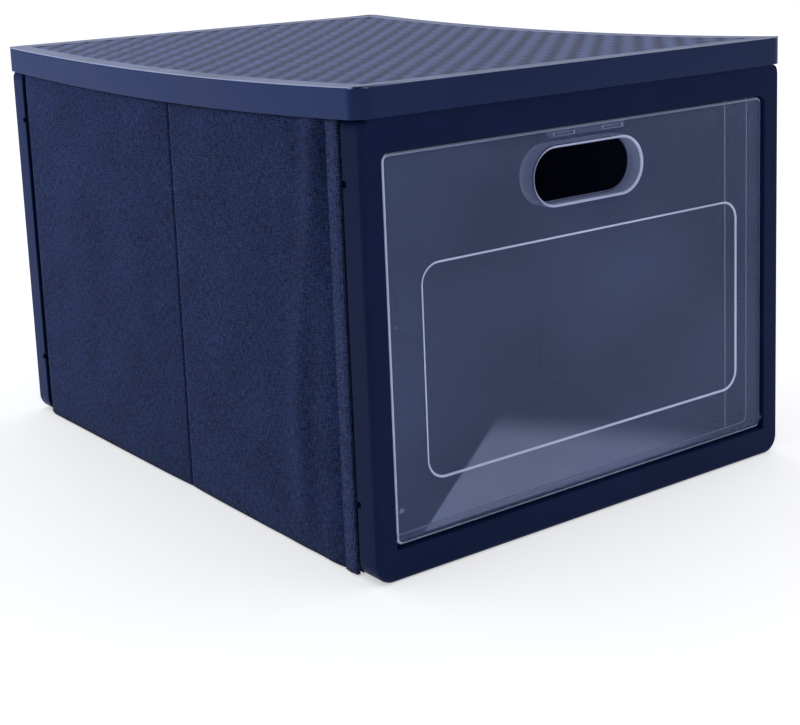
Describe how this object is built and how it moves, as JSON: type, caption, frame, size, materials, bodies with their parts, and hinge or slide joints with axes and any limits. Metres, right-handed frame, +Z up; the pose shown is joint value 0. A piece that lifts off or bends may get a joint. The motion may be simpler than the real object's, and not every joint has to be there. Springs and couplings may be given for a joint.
{
  "type": "folding fabric storage bin",
  "caption": "Folding storage bin: fabric side walls between plastic end frames, clear drop-down front door with hand slot, folding floor and lift-off lid.",
  "frame": {"origin": "middle of the footprint, on the surface the bin stands on", "axes": "+Z up, the door faces -Y, +X to the right of a person facing the door"},
  "size_m": [0.3, 0.4, 0.248],
  "materials": {
    "navy_plastic": "fine satin",
    "clear_plastic": "clear, slightly smoky, polished",
    "navy_fabric": "linen-look plain weave",
    "binding_fabric": "sewn edge binding",
    "lining_fabric": "plain nonwoven",
    "board": "plain sheet"
  },
  "bodies": {
    "rear_frame": {"rear_frame": "navy_plastic", "rear_fabric": "navy_fabric", "rear_board": "board", "rear_lining": "lining_fabric", "left_rear_stile_fabric": "navy_fabric", "left_rear_stile_board": "board", "left_rear_stile_lining": "lining_fabric", "left_rear_strip": "board", "right_rear_strip": "board"},
    "left_rear_wall": {"left_rear_fabric": "navy_fabric", "left_rear_board": "board", "left_rear_lining": "lining_fabric"},
    "left_front_wall": {"left_front_fabric": "navy_fabric", "left_front_board": "board", "left_front_lining": "lining_fabric", "left_front_binding": "binding_fabric"},
    "front_frame": {"front_frame": "navy_plastic", "right_front_stile_fabric": "navy_fabric", "right_front_stile_board": "board", "right_front_stile_lining": "lining_fabric", "left_front_strip": "board", "right_front_strip": "board"},
    "right_rear_wall": {"right_rear_fabric": "navy_fabric", "right_rear_board": "board", "right_rear_lining": "lining_fabric", "right_rear_binding": "binding_fabric"},
    "right_front_wall": {"right_front_fabric": "navy_fabric", "right_front_board": "board", "right_front_lining": "lining_fabric"},
    "door": {"front_door": "clear_plastic"},
    "lid": {"lid": "navy_plastic"},
    "floor_rear": {"floor_rear_cover": "lining_fabric", "floor_rear_board": "board"},
    "floor_front": {"floor_front_cover": "lining_fabric", "floor_front_board": "board"}
  },
  "joints": [
    {"name": "fold", "type": "hinge", "parent": "rear_frame", "child": "left_rear_wall", "pos_m": [-0.1458, 0.159, 0], "axis": [0, 0, -1], "range_deg": [-86, 0]},
    {"name": "left_crease", "type": "hinge", "parent": "left_rear_wall", "child": "left_front_wall", "pos_m": [-0.1458, -0.01, 0], "axis": [0, 0, 1], "range_deg": [-172, 0]},
    {"name": "left_front_hinge", "type": "hinge", "parent": "left_front_wall", "child": "front_frame", "pos_m": [-0.1458, -0.179, 0], "axis": [0, 0, 1], "range_deg": [0, 86]},
    {"name": "right_rear_hinge", "type": "hinge", "parent": "rear_frame", "child": "right_rear_wall", "pos_m": [0.1458, 0.179, 0], "axis": [0, 0, 1], "range_deg": [-86, 0]},
    {"name": "right_crease", "type": "hinge", "parent": "right_rear_wall", "child": "right_front_wall", "pos_m": [0.1458, 0.01, 0], "axis": [0, 0, 1], "range_deg": [0, 172]},
    {"name": "floor_rear_hinge", "type": "hinge", "parent": "rear_frame", "child": "floor_rear", "pos_m": [0, 0.1882, 0.0022], "axis": [1, 0, 0], "range_deg": [-90, 0], "deforming": ["floor_rear_cover", "floor_rear_board"]},
    {"name": "floor_crease", "type": "hinge", "parent": "floor_rear", "child": "floor_front", "pos_m": [0, 0.0036, 0.0022], "axis": [1, 0, 0], "range_deg": [0, 180], "deforming": ["floor_front_cover", "floor_front_board"]},
    {"name": "door_hinge", "type": "hinge", "parent": "front_frame", "child": "door", "pos_m": [0, -0.1944, 0.0228], "axis": [1, 0, 0], "range_deg": [0, 90]},
    {"name": "lid_lift", "type": "slide", "parent": "rear_frame", "child": "lid", "axis": [0, 0, 1], "range_m": [0, 0.08]}
  ],
  "couplings": [
    {"joint": "left_crease", "follows": "fold", "ratio": 2},
    {"joint": "left_front_hinge", "follows": "fold", "ratio": -1},
    {"joint": "right_rear_hinge", "follows": "fold", "ratio": 1},
    {"joint": "right_crease", "follows": "fold", "ratio": -2},
    {"joint": "floor_rear_hinge", "follows": "fold", "ratio": 1.0465},
    {"joint": "floor_crease", "follows": "fold", "ratio": -2.093}
  ]
}
